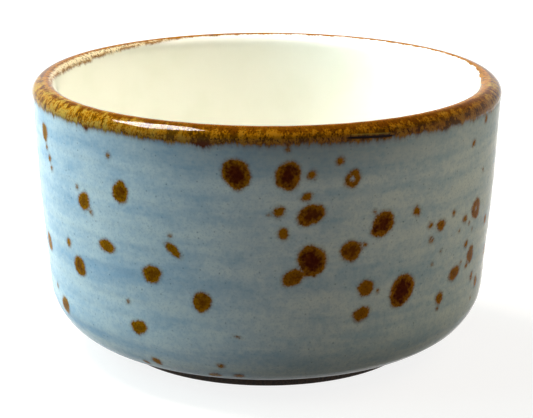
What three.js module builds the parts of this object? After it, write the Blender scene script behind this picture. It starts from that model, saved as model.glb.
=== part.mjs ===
// A small round sauce dish in glazed stoneware: a near-straight wall with a full-round lip, a rounded heel
// and a bare foot ring. One clay body carries four glaze coats that butt edge to edge.
// Millimetres, +Z up, origin in the middle of the foot ring's bearing face.
import * as THREE from "three";

// Driving dimensions of the glazed dish
const rimDiameter = 70; // across the widest part of the lip
const dishHeight = 41; // from the table to the top of the lip
const wallLean = 3.9; // degrees that the wall leans outwards
const heelRadius = 9; // round between the wall and the underside
const glazeCoat = 0.35; // thickness of each coat

// The clay
const clayWall = 3.05; // between the inside and outside coats
const clayFloor = 4; // between the inside coat and the foot well's coat
const insideCornerRadius = 7.5; // round between the wall and the floor

// The foot ring
const footHeight = 2.1; // from the table to the underside of the heel
const footWidth = 2.6; // across the ring
const footLedge = 1.05; // bare flat between the ring and the heel's round
const footWellDepth = 1.7; // from the table to the glazed face inside the ring
const footEdgeRadius = 0.4; // round on both edges of the bearing face
const footRootRadius = 0.4; // fillet between the ring and the clay above it

// The rim coat
const bandBelowLip = 0.1; // least reach below the lip's round, outside
const bandRunLength = 0.6; // how much further the longest run reaches
const bandPastCrest = 35; // degrees round the lip from its crest to the coat's inner edge
const bandSlowRuns = 4; // broad waves of the lower edge in one turn
const bandQuickRuns = 11; // narrow waves of the lower edge in one turn

// Facets
const turnSteps = 64;
const heelSteps = 7;
const lipQuarterSteps = 5;
const lipCrestSteps = 2;
const lipInsideSteps = 3;
const insideCornerSteps = 6;
const filletSteps = 2;

// Finishes
const firedClay = { color: 0x4a3a2e, roughness: 0.85 };
const blueGlaze = { color: 0x8b9cae, roughness: 0.2 };
const brownGlaze = { color: 0x8a6430, roughness: 0.25 };
const creamGlaze = { color: 0xf3efd6, roughness: 0.2 };

// Directions in the section, where x is the radius and y the height
const lean = THREE.MathUtils.degToRad(wallLean);
const upWall = new THREE.Vector2(Math.sin(lean), Math.cos(lean));
const outOfWall = new THREE.Vector2(Math.cos(lean), -Math.sin(lean));
const down = -Math.PI / 2;
const up = Math.PI / 2;
const bandEnd = up + THREE.MathUtils.degToRad(bandPastCrest);

// Heights of the bare clay
const wellHeight = footWellDepth + glazeCoat;
const ledgeHeight = footHeight + glazeCoat;
const floorHeight = wellHeight + clayFloor;

// Centres of the rounds that touch the wall
const lipRadius = clayWall / 2 + glazeCoat;
const lipCentre = new THREE.Vector2(rimDiameter / 2 - lipRadius, dishHeight - lipRadius);
const heelCentre = besideWall(lipRadius - heelRadius, footHeight + heelRadius);
const insideCornerCentre = besideWall(-clayWall / 2 - insideCornerRadius, floorHeight + insideCornerRadius);

// Radii of the foot ring, which stands inside the heel's round
const footOuterRadius = heelCentre.x - footLedge;
const footInnerRadius = footOuterRadius - footWidth;
const wellRadius = footInnerRadius - footRootRadius;

// The point at a given height on the line that runs along the wall, so far out from its middle.
function besideWall(offset, height) {
  const point = lipCentre.clone().addScaledVector(outOfWall, offset);
  const climb = (height - point.y) / upWall.y;
  return point.addScaledVector(upWall, climb);
}

// Points of an arc of the section, turning the short way from one angle to the other.
function arc(centre, radius, from, to, steps) {
  return new THREE.EllipseCurve(centre.x, centre.y, radius, radius, from, to, to < from).getPoints(steps);
}

// Stretches of the section, each so far outside the bare clay as the skin is thick.
function heelArc(skin) {
  return arc(heelCentre, heelRadius - glazeCoat + skin, down, -lean, heelSteps);
}

// The lip's round as far as the rim coat goes, and the rest of it under the inner coat.
function rimLipArc(skin) {
  const radius = clayWall / 2 + skin;
  const outer = arc(lipCentre, radius, -lean, up, lipQuarterSteps);
  const pastCrest = arc(lipCentre, radius, up, bandEnd, lipCrestSteps);
  return [...outer, ...pastCrest.slice(1)];
}

function innerLipArc(skin) {
  return arc(lipCentre, clayWall / 2 + skin, bandEnd, Math.PI - lean, lipInsideSteps);
}

function insideCornerArc(skin) {
  return arc(insideCornerCentre, insideCornerRadius - skin, -lean, down, insideCornerSteps);
}

function floorCentre(skin) {
  return new THREE.Vector2(0, floorHeight + skin);
}

function wellFace(skin) {
  const height = wellHeight - skin;
  return [new THREE.Vector2(0, height), new THREE.Vector2(wellRadius, height)];
}

// The bare foot ring, from the well's edge over the bearing face to the ledge under the heel.
function footRing() {
  const centre = (x, y) => new THREE.Vector2(x, y);
  const innerRoot = centre(wellRadius, wellHeight - footRootRadius);
  const innerEdge = centre(footInnerRadius + footEdgeRadius, footEdgeRadius);
  const outerEdge = centre(footOuterRadius - footEdgeRadius, footEdgeRadius);
  const outerRoot = centre(footOuterRadius + footRootRadius, ledgeHeight - footRootRadius);
  return [
    ...arc(innerRoot, footRootRadius, up, 0, filletSteps),
    ...arc(innerEdge, footEdgeRadius, Math.PI, Math.PI - down, filletSteps),
    ...arc(outerEdge, footEdgeRadius, down, 0, filletSteps),
    ...arc(outerRoot, footRootRadius, Math.PI, up, filletSteps),
  ];
}

// How far the rim coat runs down the outside at an angle round the dish.
function bandReach(angle) {
  const slow = Math.sin(bandSlowRuns * angle);
  const quick = Math.sin(bandQuickRuns * angle + slow);
  const share = THREE.MathUtils.mapLinear(slow + quick, -2, 2, 0, 1);
  return bandBelowLip + bandRunLength * share;
}

// Lower end of the rim coat on the outside of the wall.
function bandOuterEdge(skin, angle) {
  return rimLipArc(skin)[0].addScaledVector(upWall, -bandReach(angle));
}

// Turns a section about the dish's axis. The section may change with the angle, but not its count of points.
function revolve(sectionAt) {
  const geometry = new THREE.LatheGeometry(sectionAt(0), turnSteps);
  const position = geometry.getAttribute("position");
  for (let turn = 0; turn <= turnSteps; turn += 1) {
    const angle = (2 * Math.PI * (turn % turnSteps)) / turnSteps;
    const section = sectionAt(angle);
    section.forEach((point, index) => {
      const vertex = turn * section.length + index;
      position.setXYZ(vertex, point.x * Math.sin(angle), point.y, point.x * Math.cos(angle));
    });
  }
  geometry.computeVertexNormals();
  return geometry.rotateX(Math.PI / 2);
}

// A coat's section: its glazed face one way, then the clay under it back again.
function coatSection(face) {
  return [...face(glazeCoat), ...face(0).reverse()];
}

function closed(section) {
  return [...section, section[0]];
}

function bodyGeometry() {
  const section = [
    new THREE.Vector2(0, wellHeight),
    ...footRing(),
    ...heelArc(0),
    ...rimLipArc(0),
    ...innerLipArc(0).slice(1),
    ...insideCornerArc(0),
    floorCentre(0),
  ];
  return revolve(() => section);
}

function outerGlazeGeometry() {
  return revolve((angle) => closed(coatSection((skin) => [...heelArc(skin), bandOuterEdge(skin, angle)])));
}

function rimGlazeGeometry() {
  const face = (angle) => (skin) => [bandOuterEdge(skin, angle), ...rimLipArc(skin)];
  return revolve((angle) => closed(coatSection(face(angle))));
}

// This coat starts and ends on the axis, so its section begins under the floor's middle.
function innerGlazeGeometry() {
  const face = (skin) => [...innerLipArc(skin), ...insideCornerArc(skin), floorCentre(skin)];
  const section = [...face(0).reverse(), ...face(glazeCoat)];
  return revolve(() => section);
}

function footWellGlazeGeometry() {
  const section = coatSection(wellFace);
  return revolve(() => section);
}

function piece(name, geometry, finish) {
  const mesh = new THREE.Mesh(geometry, new THREE.MeshStandardMaterial({ ...finish, metalness: 0 }));
  mesh.name = name;
  return mesh;
}

const dish = new THREE.Group();
dish.add(
  piece("stoneware_body", bodyGeometry(), firedClay),
  piece("outer_glaze", outerGlazeGeometry(), blueGlaze),
  piece("rim_glaze", rimGlazeGeometry(), brownGlaze),
  piece("inner_glaze", innerGlazeGeometry(), creamGlaze),
  piece("foot_well_glaze", footWellGlazeGeometry(), blueGlaze),
);

export default dish;
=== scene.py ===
"""The looks of a glazed stoneware sauce dish: one clay body and its glaze coats as fine meshes, with
procedural glaze materials, on a pale floor in soft studio light."""
import math

import bpy
import numpy as np
from mathutils import Matrix, Vector


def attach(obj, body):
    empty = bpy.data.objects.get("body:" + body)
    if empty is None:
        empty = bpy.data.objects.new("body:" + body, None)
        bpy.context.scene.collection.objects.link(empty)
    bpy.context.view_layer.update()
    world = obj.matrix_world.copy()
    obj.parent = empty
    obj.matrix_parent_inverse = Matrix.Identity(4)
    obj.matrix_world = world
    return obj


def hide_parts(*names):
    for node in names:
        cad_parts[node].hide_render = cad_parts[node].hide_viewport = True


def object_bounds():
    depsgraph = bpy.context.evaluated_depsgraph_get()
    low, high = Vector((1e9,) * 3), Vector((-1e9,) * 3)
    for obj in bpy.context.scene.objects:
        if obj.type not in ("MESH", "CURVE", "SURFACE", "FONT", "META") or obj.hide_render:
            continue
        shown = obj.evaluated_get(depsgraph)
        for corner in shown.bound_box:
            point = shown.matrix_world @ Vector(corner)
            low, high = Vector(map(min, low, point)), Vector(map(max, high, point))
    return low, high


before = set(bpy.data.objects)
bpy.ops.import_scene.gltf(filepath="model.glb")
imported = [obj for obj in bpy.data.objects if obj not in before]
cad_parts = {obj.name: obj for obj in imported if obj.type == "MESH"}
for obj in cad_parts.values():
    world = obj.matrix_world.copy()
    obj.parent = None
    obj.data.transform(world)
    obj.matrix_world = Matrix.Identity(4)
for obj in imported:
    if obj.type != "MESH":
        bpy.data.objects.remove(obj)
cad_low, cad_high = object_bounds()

MM = 0.001  # one millimetre in metres; lengths are in millimetres where nothing else is said
QUARTER_TURN = math.pi / 2
FULL_TURN = 2 * math.pi

# Sizes of the dish, as in its solids
RIM_RADIUS = cad_high.x / MM
DISH_HEIGHT = cad_high.z / MM
WALL_LEAN = math.radians(3.9)
HEEL_RADIUS = 9.0
COAT = 0.35
CLAY_WALL = 3.05
CLAY_FLOOR = 4.0
INSIDE_CORNER_RADIUS = 7.5
FOOT_HEIGHT = 2.1
FOOT_WIDTH = 2.6
FOOT_LEDGE = 1.05
FOOT_WELL_DEPTH = 1.7
FOOT_EDGE_RADIUS = 0.4
FOOT_ROOT_RADIUS = 0.4
BELLY = 0.2  # how far the wall swells out of a straight line

# The view: a camera in front of the dish, looking down on a point inside it
PHOTO_WIDTH = 533
PHOTO_HEIGHT = 418
FOCAL_PIXELS = 1875.0
VIEW_DISTANCE = 287.0
VIEW_TILT = math.radians(16.12)
VIEW_ROLL = 0.0027  # radians
VIEW_TARGET = np.array([0.0, 0.0, 20.0])
SENSOR_WIDTH = 36.0
CLIP_START = 0.01  # metres

# The stretch of a pixel's ray that is searched for the wall, before and past the target
RAY_BEFORE = 60.0
RAY_PAST = 30.0
RAY_STEPS = 3000

# Mesh density
COLUMNS = 720
OUTER_ROWS = 124
RIM_ROWS = 40
INNER_ROWS = 76
BACK_ROWS = 8
CLAY_COLUMNS = 256
CLAY_ROWS = 160
WELL_ROWS = 24
FOOT_STEPS = 6
SMOOTH_ANGLE = math.radians(50)
POLE_RADIUS = 1e-6  # a ring smaller than this is one point on the axis

# Steps of the glazed face's section
HEEL_STEPS = 120
WALL_STEPS = 240
LIP_STEPS = 160
CORNER_STEPS = 100
FLOOR_STEPS = 200

# Spots of the outer glaze by photo pixel: x, y, diameter in millimetres
SPOT_PIXELS = [
    (236, 174, 4.1), (288, 176, 3.8), (312, 175, 1.25), (340, 161, 1.1), (353, 179, 2.4), (307, 197, 1.3),
    (311, 215, 3.4), (279, 212, 1.6), (269, 215, 0.4), (283, 234, 1.55), (312, 261, 4.3), (293, 278, 2.65),
    (351, 251, 3.05), (365, 245, 0.6), (383, 224, 3.6), (375, 212, 0.4), (417, 211, 1.3), (441, 225, 1.75),
    (431, 225, 0.9), (431, 240, 0.95), (454, 213, 0.7), (476, 208, 3.0), (465, 219, 1.1), (485, 219, 1.4),
    (466, 244, 1.0), (470, 254, 2.4), (484, 248, 1.4), (454, 273, 2.4), (432, 264, 0.3), (475, 281, 1.6),
    (439, 298, 1.75), (402, 290, 4.5), (366, 288, 2.45), (377, 291, 0.4), (361, 314, 2.3), (470, 298, 0.3),
    (486, 119, 1.1), (474, 143, 0.9), (45, 132, 2.5), (47, 147, 0.8), (50, 158, 1.0), (52, 168, 0.7),
    (108, 155, 0.7), (77, 187, 0.5), (84, 201, 2.6), (91, 212, 0.7), (120, 192, 2.95), (50, 241, 2.8),
    (69, 242, 1.2), (80, 266, 2.9), (107, 246, 2.4), (170, 236, 0.4), (173, 250, 1.9),
    (237, 337, 0.45), (152, 274, 2.8), (202, 302, 2.85), (128, 301, 0.5), (139, 327, 2.4), (66, 305, 2.7),
    (58, 285, 0.7), (157, 361, 1.5), (147, 362, 1.2), (221, 366, 0.9), (215, 375, 1.7), (239, 376, 1.5),
    (288, 150, 0.5), (82, 334, 0.6), (459, 231, 0.25), (472, 229, 0.25), (441, 251, 0.25), (461, 262, 0.35),
    (466, 265, 0.8), (471, 276, 1.1), (469, 223, 0.4), (437, 308, 0.45), (483, 170, 0.35),
]
# Long spots: how many times longer than wide, and the tilt from level in degrees
LONG_SPOTS = {
    (311, 215): (1.22, 20), (383, 224): (1.09, 55), (402, 290): (1.10, 50), (351, 251): (1.16, 60),
    (293, 278): (1.28, 25), (366, 288): (1.15, 25), (353, 179): (1.12, 60), (307, 197): (1.3, 15),
    (152, 274): (1.2, 0), (107, 246): (1.4, 0), (80, 266): (1.15, 0), (139, 327): (1.15, 0),
    (173, 250): (1.9, -38), (361, 314): (1.15, 20), (441, 225): (1.25, 20), (454, 273): (1.25, 20),
    (237, 337): (2.5, -20),
}
ROUND_SPOT = (1.04, 90)  # the same two values for every other spot
# Spots with a pale middle, and its share of the spot's radius
PALE_CENTRES = {(353, 179): 0.27, (476, 208): 0.16, (431, 240): 0.27}
SPOT_REACH = 1.5  # the spot field is cut off this far outside a spot
LOBES = (2, 3, 5)  # waves of a spot's outline in one turn
LOBE_SIZE = 0.07
SPOT_SEED = 11

# Seeded spots on the side away from the camera
HIDDEN_SPOTS = 95
HIDDEN_SIDE = (math.radians(88), math.radians(272))
HIDDEN_LEAST = 0.35  # diameter of the smallest
HIDDEN_MORE = 3.2  # how much larger the largest is
HIDDEN_RARITY = 2.2  # the higher, the fewer large ones
HIDDEN_ABOVE_FOOT = 5.0
HIDDEN_BELOW_LIP = 4.0
HIDDEN_LENGTHS = (1.0, 1.4)
HIDDEN_TILTS = (0, 180)  # degrees

# The rim band's edges: the reach below the lip's round and past its crest, and the seed, orders and
# strength of their waves
BAND_BELOW_LIP = 0.15
BAND_PAST_CREST = 0.5
OUTER_WAVES = (3, (5, 9, 16, 27, 41, 60), 0.22)
INNER_WAVES = (5, (9, 14, 23, 37, 52), 0.12)
WAVE_SIZES = (0.4, 1.0)

# Where the band reaches further in: how far, angle, half-width
WIDE_PLACES = [(1.6, math.radians(247), math.radians(35)), (1.3, math.radians(74), math.radians(20))]

# Runs of the rim band by photo pixel: x, y, half-width and length in millimetres
RUN_PIXELS = [
    (202, 146, 1.4, 0.6), (133, 139, 0.9, 0.15), (86, 127, 0.6, 0.5), (53, 112, 0.4, 0.4),
    (288, 147, 0.4, 0.3), (321, 147, 0.4, 0.25), (418, 136, 0.4, 0.35), (446, 130, 0.5, 0.25),
]
RUN_RISE = 1.4  # how far up the band a run's colour shows

# Where the rim band lies thin and straw-coloured: angle, half-width, strength
THIN_PLACES = [
    (math.radians(-58), math.radians(32), 1.0), (math.radians(80), math.radians(15), 1.0),
    (math.radians(46), math.radians(14), 0.15),
]

# Where the glaze past the crest turns peach: angle and half-width
PEACH_PLACE = (math.radians(247), math.radians(42))

# Painted shade under the band, where the blue is darkened: angle and half-width round the dish, and reach
# below the lip
PAINTED_SHADE_PLACE = (math.radians(8), math.radians(38))
PAINTED_SHADE_REACH = 6.0

# A crease under the rolled lip, by the photo pixels of its ends
CREASE_START = (341, 138)
CREASE_END = (399, 135)
CREASE_HALF_WIDTH = 0.20
CREASE_DEPTH = 0.10
CREASE_FOLD = 0.07  # height of the fold above the crease
CREASE_TAPER = 5  # each end fades over one part in so many of its length

# Deeper blue rings of the wall, the first a painted shade low on the heel: distance along the section,
# half-width, strength, and how much they keep left
BLUE_RINGS_AND_HEEL_SHADE = [
    (0.8, 1.4, 1.6, 0.0), (4.0, 2.2, 0.5, 1.0), (21.2, 1.6, 1.0, 0.8), (10.6, 1.0, 0.9, 0.3),
    (38.6, 1.5, 0.45, 0.3), (30.5, 1.1, 0.3, 0.4), (34.8, 0.7, 0.3, -0.4), (25.8, 0.8, 0.25, -0.3),
    (16.0, 0.7, 0.25, 0.2),
]
RING_SEED = 20
RING_ORDERS = (1, 2, 3, 5)
RING_WANDER = 0.4  # of a ring's half-width

# Rings that the maker's tool left: how they climb round the wall, and the waves up the wall that they
# are the sum of, as radians a millimetre, strength, phase and wobble
THROWN_HEIGHT = 0.012
THROWN_CLIMB = 1.4
THROWN_SWAY = 0.5
THROWN_SWAY_PHASE = 1.0
THROWN_WAVES = [(2.9, 1.0, 0.0, 0.0), (1.7, 0.8, 1.3, 0.0), (4.6, 0.6, 0.0, 1.0)]
THROWN_FADE_LIP = 3.0
THROWN_FADE_FOOT = 2.0

# Raised spots, and the rim coat's bead along its edges
SPOT_HEIGHT = 0.025
SPOT_SLOPE = 0.4  # width of the slope at a spot's edge
BEAD_HEIGHT = 0.05
BEAD_RISE = 0.3
BEAD_FALL = 1.2
BEAD_END = 1.92  # how far inside the band it ends

# Directions up and out of the wall, where the first value is the radius and the second the height
UP_WALL = np.array([math.sin(WALL_LEAN), math.cos(WALL_LEAN)])
OUT_OF_WALL = np.array([math.cos(WALL_LEAN), -math.sin(WALL_LEAN)])

# Heights of the bare clay, and the lip's round
WELL_HEIGHT = FOOT_WELL_DEPTH + COAT
LEDGE_HEIGHT = FOOT_HEIGHT + COAT
CLAY_FLOOR_HEIGHT = WELL_HEIGHT + CLAY_FLOOR
LIP_RADIUS = CLAY_WALL / 2 + COAT
LIP = np.array([RIM_RADIUS - LIP_RADIUS, DISH_HEIGHT - LIP_RADIUS])


def beside_wall(offset, height):
    """The point at a height on the line that runs along the wall, so far out from its middle."""
    point = LIP + OUT_OF_WALL * offset
    return point + UP_WALL * (height - point[1]) / UP_WALL[1]


# Centres of the rounds that touch the wall, and radii of the foot ring
HEEL = beside_wall(LIP_RADIUS - HEEL_RADIUS, FOOT_HEIGHT + HEEL_RADIUS)
CORNER = beside_wall(-CLAY_WALL / 2 - INSIDE_CORNER_RADIUS, CLAY_FLOOR_HEIGHT + INSIDE_CORNER_RADIUS)
FOOT_OUTER = HEEL[0] - FOOT_LEDGE
FOOT_INNER = FOOT_OUTER - FOOT_WIDTH
WELL_RADIUS = FOOT_INNER - FOOT_ROOT_RADIUS


def arc(centre, radius, start, end, steps):
    """Points of an arc of the section."""
    angles = np.linspace(start, end, steps + 1)
    return np.stack([centre[0] + radius * np.cos(angles), centre[1] + radius * np.sin(angles)], axis=1)


def straight(start, end, steps):
    """Points of a straight stretch of the section, without its ends."""
    share = np.linspace(0, 1, steps + 1)[1:-1, None]
    return start + (end - start) * share


class GlazedLine:
    """The glazed face's section from the foot ledge over the lip to the floor's middle, by arc length."""

    def __init__(self):
        heel = arc(HEEL, HEEL_RADIUS, -QUARTER_TURN, -WALL_LEAN, HEEL_STEPS)
        lip = arc(LIP, LIP_RADIUS, -WALL_LEAN, math.pi - WALL_LEAN, LIP_STEPS)
        corner = arc(CORNER, INSIDE_CORNER_RADIUS - COAT, -WALL_LEAN, -QUARTER_TURN, CORNER_STEPS)
        swell = np.sin(np.linspace(0, math.pi, WALL_STEPS + 1)[1:-1]) ** 2 * BELLY
        wall = straight(heel[-1], lip[0], WALL_STEPS) + swell[:, None] * OUT_OF_WALL
        inside = straight(lip[-1], corner[0], WALL_STEPS)
        middle = np.array([0.0, corner[-1][1]])
        floor = straight(corner[-1], middle, FLOOR_STEPS)
        self.points = np.concatenate([heel, wall, lip, inside, corner, floor, [middle]])
        steps = np.linalg.norm(np.diff(self.points, axis=0), axis=1)
        self.length = np.concatenate([[0.0], np.cumsum(steps)])
        tangent = np.gradient(self.points, self.length, axis=0)
        tangent /= np.linalg.norm(tangent, axis=1)[:, None]
        self.normals = np.stack([tangent[:, 1], -tangent[:, 0]], axis=1)
        first_of_lip = len(heel) + len(wall)
        self.lip_start = self.length[first_of_lip]
        self.lip_end = self.length[first_of_lip + len(lip) - 1]
        self.lip_top = (self.lip_start + self.lip_end) / 2 + LIP_RADIUS * WALL_LEAN
        self.end = self.length[-1]

    def at(self, distance, offset):
        """Radius and height at a distance along the line, moved out of the face by an offset."""
        columns = (*self.points.T, *self.normals.T)
        radius, height, out, up = [np.interp(distance, self.length, column) for column in columns]
        return np.maximum(radius + out * offset, 0.0), height + up * offset

    def distance_at_height(self, height):
        """Distance along the outside of the dish at a height."""
        outside = self.length <= self.lip_top
        return np.interp(height, self.points[outside, 1], self.length[outside])


LINE = GlazedLine()
TURN = np.arange(COLUMNS) * FULL_TURN / COLUMNS


def camera_axes():
    """Right, up and back vectors of the camera."""
    back = np.array([0.0, -math.cos(VIEW_TILT), math.sin(VIEW_TILT)])
    right = np.array([1.0, 0.0, 0.0])
    up = np.cross(back, right)
    sine, cosine = math.sin(VIEW_ROLL), math.cos(VIEW_ROLL)
    right, up = np.array([[cosine, sine], [-sine, cosine]]) @ np.stack([right, up])
    return right, up, back


def spot_on_wall(x, y):
    """Angle round the dish and distance along its section where a photo pixel's ray meets the outside."""
    right, up, back = camera_axes()
    eye = VIEW_TARGET + back * VIEW_DISTANCE
    ray = right * (x - PHOTO_WIDTH / 2) / FOCAL_PIXELS - up * (y - PHOTO_HEIGHT / 2) / FOCAL_PIXELS - back
    reach = np.linspace(VIEW_DISTANCE - RAY_BEFORE, VIEW_DISTANCE + RAY_PAST, RAY_STEPS)
    points = eye + reach[:, None] * ray
    distance = LINE.distance_at_height(points[:, 2])
    wall, _ = LINE.at(distance, 0.0)
    gap = np.hypot(points[:, 0], points[:, 1]) - wall
    hit = int(np.argmax(gap < 0)) if (gap < 0).any() else int(np.argmin(gap))
    return math.atan2(points[hit, 0], -points[hit, 1]), distance[hit]


def all_spots():
    """Every spot as angle, distance along the section, radius, length, tilt, pale middle and lobe phases."""
    rng = np.random.default_rng(SPOT_SEED)
    spots = []
    for x, y, size in SPOT_PIXELS:
        shape = LONG_SPOTS.get((x, y), ROUND_SPOT)
        spots.append((*spot_on_wall(x, y), size / 2, *shape, PALE_CENTRES.get((x, y), 0.0)))
    for _ in range(HIDDEN_SPOTS):
        size = HIDDEN_LEAST + HIDDEN_MORE * rng.random() ** HIDDEN_RARITY
        angle = rng.uniform(*HIDDEN_SIDE)
        along = rng.uniform(HIDDEN_ABOVE_FOOT, LINE.lip_start - HIDDEN_BELOW_LIP)
        shape = rng.uniform(*HIDDEN_LENGTHS), rng.uniform(*HIDDEN_TILTS)
        spots.append((angle, along, size / 2, *shape, 0.0))
    return [(*spot, rng.uniform(0, FULL_TURN, len(LOBES))) for spot in spots]


SPOTS = all_spots()


def turn_from(turn, angle):
    """Signed turn from an angle, the short way round."""
    return (turn - angle + math.pi) % FULL_TURN - math.pi


def spot_field(turn, distance, radius):
    """Signed distance to the nearest spot's edge, and that spot's size, over a grid of the outer face."""
    field = np.full(distance.shape, SPOT_REACH)
    size = np.zeros(distance.shape)
    for angle, along, spot_radius, length, tilt, pale, phases in SPOTS:
        across, up = turn_from(turn, angle) * radius, distance - along
        sine, cosine = math.sin(math.radians(tilt)), math.cos(math.radians(tilt))
        u = (across * cosine + up * sine) / math.sqrt(length)
        v = (up * cosine - across * sine) * math.sqrt(length)
        bearing = np.arctan2(v, u)
        lobes = sum(LOBE_SIZE / (k - 1) * np.cos(k * bearing + phase) for k, phase in zip(LOBES, phases))
        gap = np.hypot(u, v) - spot_radius * (1 + lobes)
        if pale:
            gap = np.maximum(gap, spot_radius * pale - np.hypot(u, v))
        nearer = gap < field
        field[nearer] = gap[nearer]
        size[nearer] = spot_radius
    return field, size


def waves(turn, seed, orders, strength):
    """A seeded sum of waves round the dish."""
    rng = np.random.default_rng(seed)
    phases = rng.uniform(0, FULL_TURN, len(orders))
    sizes = rng.uniform(*WAVE_SIZES, len(orders))
    total = sum(size * np.sin(order * turn + phase) for order, size, phase in zip(orders, sizes, phases))
    return strength * total / math.sqrt(len(orders))


def bump(turn, angle, half_width):
    """A smooth rise to 1 at an angle round the dish."""
    return np.exp(-((turn_from(turn, angle) / half_width) ** 2))


def ridge(distance, line, half_width):
    """A smooth rise to 1 along a line round the dish."""
    return np.exp(-(((distance - line) / half_width) ** 2))


def rise(value):
    """A value cut off below 0 and above 1."""
    return np.clip(value, 0, 1)


def band_runs(turn):
    """How far the rim band's runs reach below its even edge."""
    total = 0 * turn
    for x, y, half_width, length in RUN_PIXELS:
        angle, _ = spot_on_wall(x, y)
        total = total + length * bump(turn, angle, half_width / RIM_RADIUS)
    return total


def band_outer(turn):
    """Distance along the section of the rim band's outer edge, with its runs."""
    return LINE.lip_start - BAND_BELOW_LIP + waves(turn, *OUTER_WAVES) - band_runs(turn)


def band_inner(turn):
    """Distance along the section of the rim band's inner edge, further in at the wide places."""
    wide = sum(reach * bump(turn, *place) for reach, *place in WIDE_PLACES)
    return LINE.lip_top + BAND_PAST_CREST + wide + waves(turn, *INNER_WAVES)


def band_depth(turn, distance):
    """How far inside the rim band a place lies, and negative outside it."""
    return np.minimum(distance - band_outer(turn), band_inner(turn) - distance)


def crease(turn, distance):
    """The crease under the lip: 1 along its line and 0 away from it."""
    first, along_first = spot_on_wall(*CREASE_START)
    last, along_last = spot_on_wall(*CREASE_END)
    share = turn_from(turn, first) / (last - first)
    line = along_first + (along_last - along_first) * share
    ends = rise(share * CREASE_TAPER) * rise((1 - share) * CREASE_TAPER)
    return ends * ridge(distance, line, CREASE_HALF_WIDTH)


def crease_fold(turn, distance):
    """The fold above the crease: 1 along its line and 0 away from it."""
    return crease(turn, distance - 2 * CREASE_HALF_WIDTH)


def blue_wash_and_heel_shade(turn, distance):
    """How much deeper the blue is, in rings with wandering edges; the ring lowest on the heel is painted
    shade.
    """
    total = 0 * distance
    for number, (along, half_width, strength, leftness) in enumerate(BLUE_RINGS_AND_HEEL_SHADE):
        wander = waves(turn, RING_SEED + number, RING_ORDERS, RING_WANDER * half_width)
        rightness = (1 + np.sin(turn)) / 2
        total = total + strength * (1 - leftness * rightness) * ridge(distance, along + wander, half_width)
    return total


def throwing_rings(turn, distance):
    """Fine height of the rings that the maker's tool left round the wall."""
    climb = THROWN_CLIMB * np.sin(turn) / FULL_TURN
    height = distance + climb + THROWN_SWAY * np.sin(2 * turn + THROWN_SWAY_PHASE)
    rings = 0 * height
    for rate, strength, phase, wobble in THROWN_WAVES:
        rings = rings + strength * np.sin(height * rate + phase + wobble * np.cos(turn))
    return THROWN_HEIGHT * rings


def is_pole(radius):
    """Whether a row of a mesh lies on the axis."""
    return np.max(radius) < POLE_RADIUS


def grid_rings(rows):
    """Vertices of rings about the axis, and each ring's vertex numbers. A ring on the axis is one point."""
    columns = max(len(np.atleast_1d(radius)) for radius, _ in rows)
    turn = np.arange(columns) * FULL_TURN / columns
    vertices, rings, start = [], [], 0
    for radius, height in rows:
        count = 1 if is_pole(radius) else columns
        radius = np.broadcast_to(radius, columns)[:count]
        height = np.broadcast_to(height, columns)[:count]
        around = turn[:count]
        points = np.stack([radius * np.sin(around), -radius * np.cos(around), height], axis=1)
        vertices.append(points * MM)
        rings.append(start + (np.zeros(columns, int) if count == 1 else np.arange(columns)))
        start += count
    return np.concatenate(vertices), rings


def ring_faces(low, high):
    """Faces between two rings: triangles where one of them is a point, and quads elsewhere."""
    quads = np.stack([low, np.roll(low, -1), np.roll(high, -1), high], axis=1)
    if (low == low[0]).all():
        return quads[:, [0, 2, 3]].tolist()
    if (high == high[0]).all():
        return quads[:, :3].tolist()
    return quads.tolist()


def grid_mesh(name, rows, closed):
    """A mesh of rings about the axis, from rows of radii and heights. A closed one joins its two ends."""
    vertices, rings = grid_rings(rows)
    pairs = list(zip(rings, rings[1:]))
    if closed:
        pairs.append((rings[-1], rings[0]))
    faces = [face for low, high in pairs for face in ring_faces(low, high)]
    mesh = bpy.data.meshes.new(name)
    mesh.from_pydata(vertices.tolist(), [], faces)
    mesh.update()
    mesh.shade_smooth()
    mesh.set_sharp_from_angle(angle=SMOOTH_ANGLE)
    return mesh


def set_attribute(mesh, name, values):
    """Stores a number on each vertex."""
    attribute = mesh.attributes.new(name, "FLOAT", "POINT")
    attribute.data.foreach_set("value", np.ascontiguousarray(values, dtype=np.float32).ravel())


def set_place(mesh, points):
    """Stores where each vertex lies on the unrolled glaze, in millimetres."""
    attribute = mesh.attributes.new("place", "FLOAT_VECTOR", "POINT")
    attribute.data.foreach_set("vector", np.ascontiguousarray(points, dtype=np.float32).ravel())


def add_piece(name, mesh, node, material):
    """Puts a mesh in the scene as the piece that stands for a node of the dish."""
    piece = bpy.data.objects.new(name, mesh)
    bpy.context.scene.collection.objects.link(piece)
    mesh.materials.append(material)
    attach(piece, "root")
    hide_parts(node)


def coat_grid(start, end, rows):
    """Distances along the section of a coat's rows, by column."""
    share = np.linspace(0, 1, rows + 1)[:, None]
    return start + (end - start) * share


def coat_mesh(name, start, end, rows, relief=None, reaches_axis=False):
    """A closed coat between two edges of the section, with its surface fields."""
    turn = TURN[None, :]
    face = coat_grid(start, end, rows)
    back = coat_grid(start, end, BACK_ROWS)[::-1]
    face_rows = list(zip(*LINE.at(face, relief(turn, face) if relief else 0.0)))
    back_rows = list(zip(*LINE.at(back, -COAT)))
    if reaches_axis:
        rings, distance = back_rows + face_rows, np.concatenate([back, face])
    else:
        rings, distance = face_rows + back_rows, np.concatenate([face, back])
    mesh = grid_mesh(name, rings, closed=not reaches_axis)
    add_fields(mesh, np.broadcast_to(turn, distance.shape), distance, rings)
    return mesh


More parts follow.
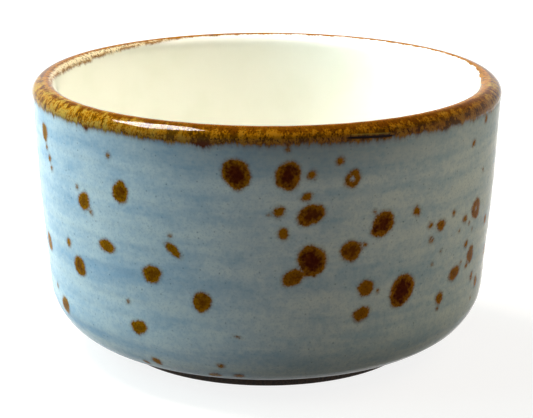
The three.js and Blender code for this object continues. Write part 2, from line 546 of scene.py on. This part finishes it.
def add_fields(mesh, turn, distance, rings):
    """Stores the fields that the glaze's colours follow on a coat's vertices."""
    radius, _ = LINE.at(distance, 0.0)
    spots, sizes = spot_field(turn, distance, radius)
    above_edge = distance - band_outer(turn)
    fields = {
        "spot": np.where(distance < LINE.lip_top, spots, SPOT_REACH),
        "spot_size": sizes,
        "band_outer": above_edge,
        "band_inner": band_inner(turn) - distance,
        "crest": distance - LINE.lip_top,
        # The crease field carries painted shade in the crease, and the fold field a painted highlight above
        # it
        "crease": crease(turn, distance),
        "fold": crease_fold(turn, distance),
        "thin": sum(strength * bump(turn, *place) for *place, strength in THIN_PLACES),
        "run": band_runs(turn) * rise(RUN_RISE - above_edge),
        # Deeper blue rings, the lowest one painted shade along the heel
        "wash_and_heel_shade": blue_wash_and_heel_shade(turn, distance),
        # Painted shade under the band, on the front of the dish
        "painted_shade": bump(turn, *PAINTED_SHADE_PLACE) * rise(1 - (LINE.lip_start - distance) / PAINTED_SHADE_REACH),
        "peach": bump(turn, *PEACH_PLACE),
    }
    place = np.stack([RIM_RADIUS * np.sin(turn), -RIM_RADIUS * np.cos(turn), distance], axis=2)
    poles = [is_pole(ring_radius) for ring_radius, _ in rings]

    def by_vertex(grid):
        """A grid's values one after another, with a single one for a ring that is a point."""
        return np.concatenate([row[:1] if pole else row for row, pole in zip(grid, poles)])

    for name, values in fields.items():
        set_attribute(mesh, name, by_vertex(values))
    set_place(mesh, by_vertex(place))


def outer_relief(turn, distance):
    """Height of the outer coat's fine shape over the smooth section."""
    fade = rise((LINE.lip_start - distance) / THROWN_FADE_LIP) * rise(distance / THROWN_FADE_FOOT)
    radius, _ = LINE.at(distance, 0.0)
    spots, _ = spot_field(turn, distance, radius)
    blister = SPOT_HEIGHT * rise((SPOT_SLOPE / 2 - spots) / SPOT_SLOPE)
    return throwing_rings(turn, distance) * fade + blister


def rim_relief(turn, distance):
    """Height of the rim coat, which thickens towards its edges and has a crease under the lip."""
    depth = band_depth(turn, distance)
    bead = BEAD_HEIGHT * rise(depth / BEAD_RISE) * rise((BEAD_END - depth) / BEAD_FALL)
    fold = CREASE_FOLD * crease_fold(turn, distance)
    return bead + fold - CREASE_DEPTH * crease(turn, distance)


# Sockets of the colour mix node
MIX_SHARE, MIX_FIRST, MIX_SECOND = 0, 6, 7
MIX_RESULT = 2

NOISE_MIDDLE = 0.5
SEED_SHIFT = (1.0, 1.7, 0.6)  # how far a seed moves a noise along each axis
PLAIN_SPECULAR = 0.5


class Graph:
    """Adds and links the shader nodes of a material or of the world."""

    def __init__(self, owner):
        owner.use_nodes = True
        self.owner = owner
        self.tree = owner.node_tree
        self.tree.nodes.clear()
        self.place = None

    def use_unrolled_place(self):
        """Lets textures follow the place on the unrolled glaze, in millimetres."""
        self.place = self.add("ShaderNodeAttribute", attribute_name="place").outputs["Vector"]

    def use_object_place(self):
        """Lets textures follow the place on the object, in millimetres."""
        here = self.add("ShaderNodeTexCoord").outputs["Object"]
        self.place = self.add("ShaderNodeMapping", {"Vector": here, "Scale": (1 / MM,) * 3}).outputs[0]

    def add(self, kind, inputs=None, **settings):
        """A node with its settings, and its inputs linked or set."""
        node = self.tree.nodes.new(kind)
        for key, value in settings.items():
            setattr(node, key, value)
        for key, value in (inputs or {}).items():
            self.feed(node.inputs[key], value)
        return node

    def feed(self, socket, value):
        """Links a socket to another one, or sets its value."""
        if isinstance(value, bpy.types.NodeSocket):
            self.tree.links.new(value, socket)
        else:
            socket.default_value = value

    def field(self, name):
        """A number that is stored on the vertices."""
        return self.add("ShaderNodeAttribute", attribute_name=name).outputs["Fac"]

    def math(self, operation, first, second=0.0, third=0.0):
        node = self.add("ShaderNodeMath", operation=operation)
        for socket, value in zip(node.inputs, (first, second, third)):
            self.feed(socket, value)
        return node.outputs[0]

    def times(self, first, second):
        return self.math("MULTIPLY", first, second)

    def plus(self, value, weight, base):
        """A weighted value on top of a base."""
        return self.math("MULTIPLY_ADD", value, weight, base)

    def rest(self, share):
        """What a share leaves of 1."""
        return self.math("SUBTRACT", 1.0, share)

    def step(self, value, low, high):
        """0 below low, 1 above high and smooth between them."""
        ends = {"Value": value, "From Min": low, "From Max": high}
        return self.add("ShaderNodeMapRange", ends, interpolation_type="SMOOTHSTEP").outputs[0]

    def mix(self, share, first, second):
        """The first colour with a share of the second."""
        node = self.add("ShaderNodeMix", data_type="RGBA")
        self.feed(node.inputs[MIX_SHARE], share)
        for socket, color in ((MIX_FIRST, first), (MIX_SECOND, second)):
            self.feed(node.inputs[socket], (*color, 1.0) if isinstance(color, tuple) else color)
        return node.outputs[MIX_RESULT]

    def noise(self, across, along, detail, seed):
        """Noise with so many cells a millimetre across and up the dish."""
        shift = tuple(seed * axis for axis in SEED_SHIFT)
        stretch = {"Vector": self.place, "Scale": (across, across, along), "Location": shift}
        place = self.add("ShaderNodeMapping", stretch).outputs[0]
        return self.add("ShaderNodeTexNoise", {"Vector": place, "Scale": 1.0, "Detail": detail}).outputs[0]

    def swing(self, *noise):
        """The same noise about 0."""
        return self.math("SUBTRACT", self.noise(*noise), NOISE_MIDDLE)

    def cells(self, per_mm):
        """Distance to the nearest of scattered points, and its random colour."""
        node = self.add("ShaderNodeTexVoronoi", {"Vector": self.place, "Scale": per_mm})
        return node.outputs["Distance"], node.outputs["Color"]

    def surface(self, shader):
        """Makes a shader the material's surface."""
        self.add("ShaderNodeOutputMaterial", {"Surface": shader.outputs[0]})
        return self.owner

    def finish(self, color, roughness, specular=PLAIN_SPECULAR, grain=None, grain_depth=0.0):
        """Gives the material a colour, a roughness and, where there is one, a grain."""
        shader = self.add("ShaderNodeBsdfPrincipled", {"Base Color": color, "Roughness": roughness})
        shader.inputs["Specular IOR Level"].default_value = specular
        if grain is not None:
            relief = {"Height": grain, "Strength": 1.0, "Distance": grain_depth * MM}
            self.feed(shader.inputs["Normal"], self.add("ShaderNodeBump", relief).outputs[0])
        return self.surface(shader)


# Glaze and clay colours, as linear light
PALE_BLUE = (0.585, 0.645, 0.655)
DEEP_BLUE = (0.315, 0.44, 0.56)
GRAIN_BLUE = (0.24, 0.35, 0.46)
SPECK_BLUE = (0.10, 0.15, 0.21)
CREAM = (0.93, 0.91, 0.83)
WARM_CREAM = (0.90, 0.885, 0.79)
PEACH = (0.84, 0.70, 0.45)
STRAW = (0.36, 0.25, 0.035)
GOLD = (0.32, 0.115, 0.0)
AMBER = (0.31, 0.118, 0.0)
OLIVE = (0.095, 0.037, 0.0)
RUSSET = (0.12, 0.030, 0.0)
RED_AMBER = (0.35, 0.11, 0.0)
UMBER = (0.11, 0.033, 0.0)
DARK_OLIVE = (0.045, 0.015, 0.0)
DARK_RED = (0.09, 0.015, 0.0)
DARK_BROWN = (0.058, 0.005, 0.0)
# Near-black painted shade for the crease under the lip
CREASE_SHADE_BLACK_BROWN = (0.012, 0.001, 0.0)
# The bare clay's colours are partly its own dark body and partly painted shade under the foot, near black
DARK_CLAY_AND_SHADE = (0.013, 0.009, 0.007)
SANDY_CLAY_AND_SHADE = (0.055, 0.031, 0.018)

# Gloss
GLAZE_SPECULAR = 0.012
RIM_SPECULAR = 0.06
GLAZE_ROUGHNESS = 0.08
RIM_ROUGHNESS = 0.04
CLAY_ROUGHNESS = 0.85

# Every noise below is cells a millimetre across and up the dish, detail and seed. Every pair of levels is
# where a share starts to rise from 0 and where it reaches 1.

# Blue glaze: weights and noises of the brush strokes, clouds and mottling that deepen it, then its rings, the
# lowest of them painted shade along the heel, its painted shade under the band, its grain and its specks
BLUE_NOISES = [
    (1.05, (0.05, 0.80, 4.0, 3.0)),
    (1.6, (0.16, 0.40, 4.0, 8.0)),
    (1.1, (1.1, 1.3, 3.0, 31.0)),
]
WASH_AND_HEEL_SHADE_WEIGHT = 0.6
DEEP_LEVELS = (-0.50, 0.95)
# How strongly the painted shade darkens the blue under the band
PAINTED_SHADE_WEIGHT = 0.66
BLUE_GRAIN = (3.2, 3.2, 3.0, 1.0)
BLUE_GRAIN_LEVELS = (0.46, 0.72)
BLUE_GRAIN_WEIGHT = 0.36
SPECKS_PER_MM = 1.4
SPECK_CHANCE = (0.55, 0.57)
SPECK_EDGE = (0.05, 0.28)
SPECK_WEIGHT = 0.6


def pin_specks(g):
    """Scattered pin specks, some of them fainter than others."""
    near, color = g.cells(SPECKS_PER_MM)
    chance = g.add("ShaderNodeSeparateColor", {"Color": color})
    rare = g.times(g.step(chance.outputs[0], *SPECK_CHANCE), chance.outputs[1])
    return g.times(g.rest(g.step(near, *SPECK_EDGE)), rare)


def blue_layer(g):
    """Blue-grey glaze with brushed bands, soft clouds and pin specks, darkened by painted shade under the
    band and along the heel.
    """
    # The wash deepens the blue in rings, the lowest one painted shade along the heel
    depth = g.times(g.field("wash_and_heel_shade"), WASH_AND_HEEL_SHADE_WEIGHT)
    for weight, noise in BLUE_NOISES:
        depth = g.plus(g.swing(*noise), weight, depth)
    color = g.mix(g.step(depth, *DEEP_LEVELS), PALE_BLUE, DEEP_BLUE)
    # Painted shade: the blue is darkened under the band
    color = g.mix(g.times(g.field("painted_shade"), PAINTED_SHADE_WEIGHT), color, SPECK_BLUE)
    grain = g.step(g.noise(*BLUE_GRAIN), *BLUE_GRAIN_LEVELS)
    color = g.mix(g.times(grain, BLUE_GRAIN_WEIGHT), color, GRAIN_BLUE)
    return g.mix(g.times(pin_specks(g), SPECK_WEIGHT), color, SPECK_BLUE)


# Spots: noises on their edge, the distances from it at which their parts end, and their mottling
SPOT_FRINGE = (3.4, 3.4, 2.0, 5.0)
SPOT_FRINGE_WEIGHT = 0.5
SPOT_BLOTCH = (1.2, 1.2, 2.0, 12.0)
SPOT_BLOTCH_WEIGHT = 0.6
SPOT_MOTTLE = (1.7, 1.7, 3.0, 2.0)
SPOT_MOTTLE_WEIGHT = 2.4
SPOT_BODY_EDGE = (-0.24, 0.24)
SPOT_HALO_EDGE = (0.0, 0.6)
SPOT_CORE_EDGE = (-1.25, 0.0)
SPOT_HALO_WEIGHT = 0.3
CORE_RADII = (0.7, 1.95)  # radii between which spots get a dark core
CORE_LEVELS = (-0.12, 0.16)
FLECK_LEVELS = (-0.20, 0.06)
FLECK_WEIGHT = 0.62
AMBER_LEAST = 0.38


def spot_layer(g, under):
    """Iron spots: amber and feathered at the edge, dark and softly mottled inside the large ones."""
    fringe = g.swing(*SPOT_FRINGE)
    edge = g.plus(fringe, SPOT_FRINGE_WEIGHT, g.field("spot"))
    edge = g.plus(g.swing(*SPOT_BLOTCH), SPOT_BLOTCH_WEIGHT, edge)
    mottle = g.swing(*SPOT_MOTTLE)
    body = g.rest(g.step(edge, *SPOT_BODY_EDGE))
    halo = g.rest(g.step(edge, *SPOT_HALO_EDGE))
    core = g.rest(g.step(g.plus(mottle, SPOT_MOTTLE_WEIGHT, edge), *SPOT_CORE_EDGE))
    core = g.times(core, g.step(g.field("spot_size"), *CORE_RADII))
    inside = g.mix(g.step(mottle, *CORE_LEVELS), DARK_BROWN, DARK_RED)
    amber = g.mix(g.plus(g.step(fringe, *FLECK_LEVELS), FLECK_WEIGHT, AMBER_LEAST), UMBER, AMBER)
    color = g.mix(g.times(halo, SPOT_HALO_WEIGHT), under, OLIVE)
    return g.mix(body, color, g.mix(core, amber, inside))


# Tone of the rim band: broad patches, streaks down the lip and fine grain, with their weights
BAND_PATCH = (0.75, 0.70, 3.0, 17.0)
BAND_PATCH_WEIGHT = 2.2
BAND_STREAK = (1.7, 0.50, 3.0, 4.0)
BAND_STREAK_WEIGHT = 1.5
BAND_GRAIN = (4.2, 3.2, 3.0, 14.0)
BAND_GRAIN_WEIGHT = 1.5
THIN_TONE = 0.16


def band_tone(g):
    """Mottling of the rim band, and its streaks and grain by themselves."""
    streak = g.swing(*BAND_STREAK)
    grain = g.swing(*BAND_GRAIN)
    tone = g.plus(streak, BAND_STREAK_WEIGHT, g.times(g.swing(*BAND_PATCH), BAND_PATCH_WEIGHT))
    tone = g.plus(g.field("thin"), THIN_TONE, tone)
    return g.plus(grain, BAND_GRAIN_WEIGHT, tone), streak, grain


# Gold of the rim band by tone, and its straw, which is stronger where the band is thin and ends at the crest
GOLD_LEVELS = (-0.30, 0.16)
STRAW_LEVELS = (0.0, 0.40)
STRAW_LEAST = 0.16
STRAW_THIN = 0.60
STRAW_END = (-0.2, 0.5)


def gold_layer(g, tone):
    """Olive, gold and straw of the rim band outside its crest."""
    color = g.mix(g.step(tone, *GOLD_LEVELS), OLIVE, GOLD)
    pale = g.plus(g.field("thin"), STRAW_THIN, STRAW_LEAST)
    pale = g.times(pale, g.rest(g.step(g.field("crest"), *STRAW_END)))
    return g.mix(g.times(g.step(tone, *STRAW_LEVELS), pale), color, STRAW)


# Thin peach glaze past the crest
PEACH_START = (0.45, 1.0)
PEACH_LEVELS = (0.1, 0.6)
PEACH_GRAIN_LEVELS = (0.0, 0.3)
PEACH_GRAIN_WEIGHT = 0.5


def peach_layer(g, under, crest, grain):
    """Peach with golden grain, past the crest at the back on the left."""
    peach = g.mix(g.times(g.step(grain, *PEACH_GRAIN_LEVELS), PEACH_GRAIN_WEIGHT), PEACH, GOLD)
    share = g.times(g.step(crest, *PEACH_START), g.step(g.field("peach"), *PEACH_LEVELS))
    return g.mix(share, under, peach)


# The russet crest: how streaks move it, its middle outside the lip's top, its edges, and what narrows it
CREST_STREAK = 0.9
CREST_MIDDLE = 0.50
CREST_TONE = 1.1
CREST_THIN = 0.30
CREST_PEACH = 0.40
CREST_EDGE = (0.50, 1.20)
CREST_WEIGHT = 0.85
RUSSET_LEVELS = (-0.2, 0.1)
RED_AMBER_START = (-0.45, 0.15)


def crest_line(g, crest, tone):
    """How far the crest of the lip turns russet, with uneven edges, and less far where the band lies thin."""
    away = g.math("ABSOLUTE", g.math("ADD", crest, CREST_MIDDLE))
    away = g.plus(tone, CREST_TONE, away)
    away = g.plus(g.math("MAXIMUM", g.field("thin"), 0.0), CREST_THIN, away)
    away = g.plus(g.field("peach"), CREST_PEACH, away)
    return g.times(g.rest(g.step(away, *CREST_EDGE)), CREST_WEIGHT)


def crest_layer(g, under, crest, tone, grain):
    """The russet line along the crest of the lip, red amber on its inner side."""
    russet = g.mix(g.step(grain, *RUSSET_LEVELS), UMBER, RUSSET)
    russet = g.mix(g.step(g.field("crest"), *RED_AMBER_START), russet, RED_AMBER)
    return g.mix(crest_line(g, crest, tone), under, russet)


# Dark specks of the rim band, which are fainter where it lies thin
BAND_SPECKS = (3.4, 2.8, 2.0, 9.0)
BAND_SPECK_LEVELS = (0.55, 0.63)
BAND_SPECK_WEIGHT = 0.75
BAND_SPECK_THIN = -0.35


def speckle_layer(g, under):
    """Dark specks all over the rim band."""
    speckle = g.step(g.noise(*BAND_SPECKS), *BAND_SPECK_LEVELS)
    speckle = g.times(speckle, g.plus(g.field("thin"), BAND_SPECK_THIN, BAND_SPECK_WEIGHT))
    return g.mix(speckle, under, DARK_OLIVE)


# Ragged edges of the rim band: noises and weights, and how crisp the inner edge is, less so at the peach
OUTER_RAG_WEIGHT = 1.2
INNER_RAG = (0.9, 0.9, 3.0, 15.0)
INNER_RAG_WEIGHT = 0.8
FINE_RAG_WEIGHT = 0.4
PEACH_EDGE_LEVELS = (0.05, 0.5)
INNER_CRISP = 2.2
INNER_CRISP_PEACH = -1.2
BAND_EDGE = (-0.36, 0.28)

# Colours along the edges: a dark brim below, a broken hem inside, and a halo on the blue
BRIM_EDGE = (0.05, 0.7)
BRIM_WEIGHT = 0.25
HEM_EDGE = (0.2, 0.7)
HEM_PATCH = (0.5, 0.5, 3.0, 23.0)
HEM_PATCH_LEVELS = (0.38, 0.56)
HEM_WEIGHT = 0.25
HEM_PEACH = 0.65
HEM_GRAIN_LEVELS = (-0.05, 0.25)
BAND_HALO_EDGE = (-0.9, 0.0)
BAND_HALO_END = (-0.5, 0.0)
BAND_HALO_WEIGHT = 0.3


def ragged_edge(g, field, coarse, fine, weight):
    """An edge field with noise on it."""
    edge = g.plus(coarse, weight, g.field(field))
    return g.plus(fine, FINE_RAG_WEIGHT, edge)


def edge_layers(g, under, low, high, grain):
    """The rim band's brim along its lower edge and hem along its inner one."""
    brim = g.times(g.rest(g.step(low, *BRIM_EDGE)), BRIM_WEIGHT)
    color = g.mix(brim, under, UMBER)
    hem = g.rest(g.step(high, *HEM_EDGE))
    hem = g.times(hem, g.step(g.noise(*HEM_PATCH), *HEM_PATCH_LEVELS))
    hem = g.times(hem, g.plus(g.step(g.field("peach"), *PEACH_EDGE_LEVELS), HEM_PEACH, HEM_WEIGHT))
    return g.mix(hem, color, g.mix(g.step(grain, *HEM_GRAIN_LEVELS), AMBER, RUSSET))


# Colours of the runs, the painted highlight on the fold and the painted shade in the crease
RUN_LEVELS = (0.10, 0.5)
FOLD_HIGHLIGHT_LEVELS = (0.6, 1.0)
FOLD_HIGHLIGHT_WEIGHT = 0.6
CREASE_SHADE_LEVELS = (0.15, 0.7)


def run_and_crease_layers(g, under):
    """Dark red runs, the crease darkened with painted shade, and a painted highlight on the fold above it."""
    color = g.mix(g.step(g.field("run"), *RUN_LEVELS), under, DARK_RED)
    # Painted highlight: the fold above the crease is lightened with straw
    color = g.mix(g.times(g.step(g.field("fold"), *FOLD_HIGHLIGHT_LEVELS), FOLD_HIGHLIGHT_WEIGHT), color, STRAW)
    # Painted shade: the crease is darkened to near black
    return g.mix(g.step(g.field("crease"), *CREASE_SHADE_LEVELS), color, CREASE_SHADE_BLACK_BROWN)


def band_layer(g, under):
    """The rim band: mottled gold and olive with dark specks, a russet crest and thin peach glaze past it."""
    tone, streak, grain = band_tone(g)
    crest = g.plus(streak, CREST_STREAK, g.field("crest"))
    color = peach_layer(g, gold_layer(g, tone), crest, grain)
    color = speckle_layer(g, crest_layer(g, color, crest, tone, grain))
    low = ragged_edge(g, "band_outer", streak, grain, OUTER_RAG_WEIGHT)
    high = ragged_edge(g, "band_inner", g.swing(*INNER_RAG), grain, INNER_RAG_WEIGHT)
    color = run_and_crease_layers(g, edge_layers(g, color, low, high, grain))
    crisp = g.plus(g.step(g.field("peach"), *PEACH_EDGE_LEVELS), INNER_CRISP_PEACH, INNER_CRISP)
    edge = g.math("MINIMUM", low, g.times(high, crisp))
    halo = g.times(g.step(low, *BAND_HALO_EDGE), g.rest(g.step(g.field("crest"), *BAND_HALO_END)))
    under = g.mix(g.times(halo, BAND_HALO_WEIGHT), under, OLIVE)
    return g.mix(g.step(edge, *BAND_EDGE), under, color)


# Cream inside the dish, where it meets the blue under the band, and clouds in the gloss
CREAM_CLOUD = (0.15, 0.15, 2.0, 6.0)
CREAM_LEVELS = (0.4, 0.8)
CREAM_START = (-0.2, 0.2)
GLOSS_CLOUD = (0.3, 0.6, 2.0, 7.0)


def reactive_glaze(name, roughness, specular):
    """The whole dish's glaze: cream inside, blue outside, spots on the blue and the brown band over both."""
    g = Graph(bpy.data.materials.new(name))
    g.use_unrolled_place()
    color = spot_layer(g, blue_layer(g))
    cream = g.mix(g.step(g.noise(*CREAM_CLOUD), *CREAM_LEVELS), CREAM, WARM_CREAM)
    color = g.mix(g.step(g.field("crest"), *CREAM_START), color, cream)
    color = band_layer(g, color)
    return g.finish(color, g.plus(g.noise(*GLOSS_CLOUD), roughness, roughness), specular)


# Bare clay
CLAY_GRAIN = (3.0, 3.0, 4.0, 2.0)
CLAY_LEVELS = (0.35, 0.65)
CLAY_GRAIN_DEPTH = 0.08


def bare_clay(name):
    """Unglazed dark stoneware with sandy grain, partly its own dark body and partly painted shade under the
    foot.
    """
    g = Graph(bpy.data.materials.new(name))
    g.use_object_place()
    grain = g.noise(*CLAY_GRAIN)
    color = g.mix(g.step(grain, *CLAY_LEVELS), DARK_CLAY_AND_SHADE, SANDY_CLAY_AND_SHADE)
    return g.finish(color, CLAY_ROUGHNESS, grain=grain, grain_depth=CLAY_GRAIN_DEPTH)


def foot_section():
    """Section of the bare foot ring, from the well's middle over the bearing face to the ledge."""
    inner_root = (WELL_RADIUS, WELL_HEIGHT - FOOT_ROOT_RADIUS)
    inner_edge = (FOOT_INNER + FOOT_EDGE_RADIUS, FOOT_EDGE_RADIUS)
    outer_edge = (FOOT_OUTER - FOOT_EDGE_RADIUS, FOOT_EDGE_RADIUS)
    outer_root = (FOOT_OUTER + FOOT_ROOT_RADIUS, LEDGE_HEIGHT - FOOT_ROOT_RADIUS)
    return np.concatenate([
        [[0.0, WELL_HEIGHT]],
        arc(inner_root, FOOT_ROOT_RADIUS, QUARTER_TURN, 0, FOOT_STEPS),
        arc(inner_edge, FOOT_EDGE_RADIUS, math.pi, 3 * QUARTER_TURN, FOOT_STEPS),
        arc(outer_edge, FOOT_EDGE_RADIUS, -QUARTER_TURN, 0, FOOT_STEPS),
        arc(outer_root, FOOT_ROOT_RADIUS, math.pi, QUARTER_TURN, FOOT_STEPS),
    ])


def turned_rows(points):
    """Rows of a mesh that turns a section about the axis."""
    return [(np.full(CLAY_COLUMNS, radius), height) for radius, height in points]


def clay_mesh():
    """The clay body's section, foot ring and all, turned about the axis."""
    line = LINE.at(np.linspace(0, LINE.end, CLAY_ROWS), -COAT)
    points = np.concatenate([foot_section(), np.stack(line, axis=1)])
    return grid_mesh("stoneware_body_fine", turned_rows(points), closed=False)


def well_mesh():
    """The coat inside the foot ring, with plain blue glaze."""
    radii = np.linspace(0, WELL_RADIUS, WELL_ROWS)
    face = [(radius, FOOT_WELL_DEPTH) for radius in radii]
    back = [(radius, WELL_HEIGHT) for radius in radii[::-1]]
    mesh = grid_mesh("foot_well_glaze_fine", turned_rows(face + back), closed=False)
    count = len(mesh.vertices)
    for field in ("band_outer", "band_inner", "crest"):
        set_attribute(mesh, field, np.full(count, -LINE.lip_top))
    set_attribute(mesh, "spot", np.full(count, SPOT_REACH))
    points = np.zeros(count * 3)
    mesh.vertices.foreach_get("co", points)
    set_place(mesh, points / MM)
    return mesh


def build_dish():
    """The dish's five pieces."""
    glaze_outer = reactive_glaze("blue_glaze", GLAZE_ROUGHNESS, GLAZE_SPECULAR)
    glaze_rim = reactive_glaze("brown_glaze", RIM_ROUGHNESS, RIM_SPECULAR)
    glaze_inner = reactive_glaze("cream_glaze", GLAZE_ROUGHNESS, GLAZE_SPECULAR)
    low, high = band_outer(TURN), band_inner(TURN)
    outer = coat_mesh("outer_glaze_fine", 0.0, low, OUTER_ROWS, outer_relief)
    rim = coat_mesh("rim_glaze_fine", low, high, RIM_ROWS, rim_relief)
    inner = coat_mesh("inner_glaze_fine", high, LINE.end, INNER_ROWS, reaches_axis=True)
    add_piece("outer_glaze_fine", outer, "outer_glaze", glaze_outer)
    add_piece("rim_glaze_fine", rim, "rim_glaze", glaze_rim)
    add_piece("inner_glaze_fine", inner, "inner_glaze", glaze_inner)
    add_piece("foot_well_glaze_fine", well_mesh(), "foot_well_glaze", glaze_outer)
    add_piece("stoneware_body_fine", clay_mesh(), "stoneware_body", bare_clay("fired_clay"))


def add_camera():
    """The camera that the view's values describe."""
    right, up, back = camera_axes()
    data = bpy.data.cameras.new("camera")
    data.sensor_width = SENSOR_WIDTH
    data.lens = FOCAL_PIXELS * SENSOR_WIDTH / PHOTO_WIDTH
    data.clip_start = CLIP_START
    camera = bpy.data.objects.new("camera", data)
    bpy.context.scene.collection.objects.link(camera)
    place = Matrix((right, up, back)).transposed().to_4x4()
    place.translation = Vector((VIEW_TARGET + back * VIEW_DISTANCE) * MM)
    camera.matrix_world = place
    bpy.context.scene.camera = camera


# Lamps: name, place and size in metres, level, colour, and whether it shows only as a glint in the glaze
LAMPS = [
    ("window", (-0.70, 0.26, 0.34), (1.35, 0.70), 2.3, (0.52, 0.86, 1.0), False),
    ("overhead", (-0.34, 0.21, 0.70), (0.36, 0.15), 1.83, (1.0, 0.93, 0.86), False),
    ("glint", (-0.42, 0.0, 0.73), (0.36, 0.36), 6.5, (1.0, 1.0, 1.0), True),
    ("fill", (0.79, 0.03, 0.50), (1.15, 1.15), 0.58, (1.0, 0.92, 0.67), False),
]


def add_area_light(name, position, size, level, color, glint):
    """A soft lamp aimed at the dish. A level of 1 shows a facing surface in its own colour. A glint lamp
    shows only as a reflection, and the others only as light."""
    position = Vector(position)
    target = Vector((0, 0, DISH_HEIGHT / 2 * MM))
    data = bpy.data.lights.new(name, "AREA")
    data.shape = "RECTANGLE"
    data.size, data.size_y = size
    data.energy = level * math.pi ** 2 * (position - target).length_squared
    data.color = color
    lamp = bpy.data.objects.new(name, data)
    lamp.location = position
    lamp.rotation_mode = "QUATERNION"
    lamp.rotation_quaternion = (target - position).to_track_quat("-Z", "Y")
    lamp.visible_glossy = glint
    lamp.visible_diffuse = not glint
    bpy.context.scene.collection.objects.link(lamp)


def add_studio():
    """Lamps, world and floor."""
    for lamp in LAMPS:
        add_area_light(*lamp)
    add_world()
    add_floor()
    bpy.context.scene.view_settings.view_transform = "Standard"


def shown_ray(g):
    """1 for the rays that see white: the camera's, reflected ones and transmitted ones."""
    path = g.add("ShaderNodeLightPath")
    shown = path.outputs["Is Camera Ray"]
    for kind in ("Is Glossy Ray", "Is Transmission Ray"):
        shown = g.math("MAXIMUM", shown, path.outputs[kind])
    return shown


# Faint light from all round, and the sines of the heights between which the white backdrop gives way to a
# dimmer ceiling
WORLD_LIGHT = 0.02
WORLD_COLOR = (1.0, 0.90, 0.78)
BACKDROP_FADE = (0.25, 0.60)
CEILING = 0.15


def add_world():
    """A white backdrop to the camera and in reflections, which lights the dish only faintly."""
    world = bpy.data.worlds.new("studio")
    bpy.context.scene.world = world
    g = Graph(world)
    direction = g.add("ShaderNodeTexCoord").outputs["Generated"]
    height = g.add("ShaderNodeSeparateXYZ", {0: direction}).outputs["Z"]
    low, high = BACKDROP_FADE
    fade = {"Value": height, "From Min": low, "From Max": high, "To Min": 1.0, "To Max": CEILING}
    backdrop = g.add("ShaderNodeMapRange", fade).outputs[0]
    faint = tuple(WORLD_LIGHT * channel for channel in WORLD_COLOR)
    background = g.add("ShaderNodeBackground", {"Color": g.mix(shown_ray(g), faint, backdrop)})
    g.add("ShaderNodeOutputWorld", {"Surface": background.outputs[0]})


# The floor: its colour, its own white near the dish, which is dimmer there as a painted shade round the dish,
# and between which distances it rises to full white
FLOOR_HALF = 2.0  # metres
FLOOR_COLOR = (0.25, 0.228, 0.206, 1.0)
FLOOR_GLOW = 0.85
FLOOR_SHADE_FADE = (150.0, 450.0)
WHITE = (1.0, 1.0, 1.0, 1.0)


def floor_material():
    """A pale floor that reads as white to the camera and keeps the dish's shadow, with a painted shade round
    the dish where its own glow is weaker.
    """
    g = Graph(bpy.data.materials.new("floor"))
    g.use_object_place()
    lit = g.add("ShaderNodeBsdfDiffuse", {"Color": FLOOR_COLOR})
    distance = g.add("ShaderNodeVectorMath", {0: g.place}, operation="LENGTH").outputs["Value"]
    # Painted shade: the floor's own glow is weaker near the dish
    strength = g.plus(g.step(distance, *FLOOR_SHADE_FADE), 1.0 - FLOOR_GLOW, FLOOR_GLOW)
    glow = g.add("ShaderNodeEmission", {"Color": WHITE, "Strength": strength})
    white = g.add("ShaderNodeAddShader", {0: lit.outputs[0], 1: glow.outputs[0]})
    return g.surface(g.add("ShaderNodeMixShader", {0: shown_ray(g), 1: lit.outputs[0], 2: white.outputs[0]}))


def add_floor():
    """A plain square floor under the dish."""
    half = FLOOR_HALF
    corners = [(-half, -half, 0), (half, -half, 0), (half, half, 0), (-half, half, 0)]
    mesh = bpy.data.meshes.new("floor")
    mesh.from_pydata(corners, [], [(0, 1, 2, 3)])
    mesh.materials.append(floor_material())
    floor = bpy.data.objects.new("floor", mesh)
    bpy.context.scene.collection.objects.link(floor)


build_dish()
add_studio()
add_camera()
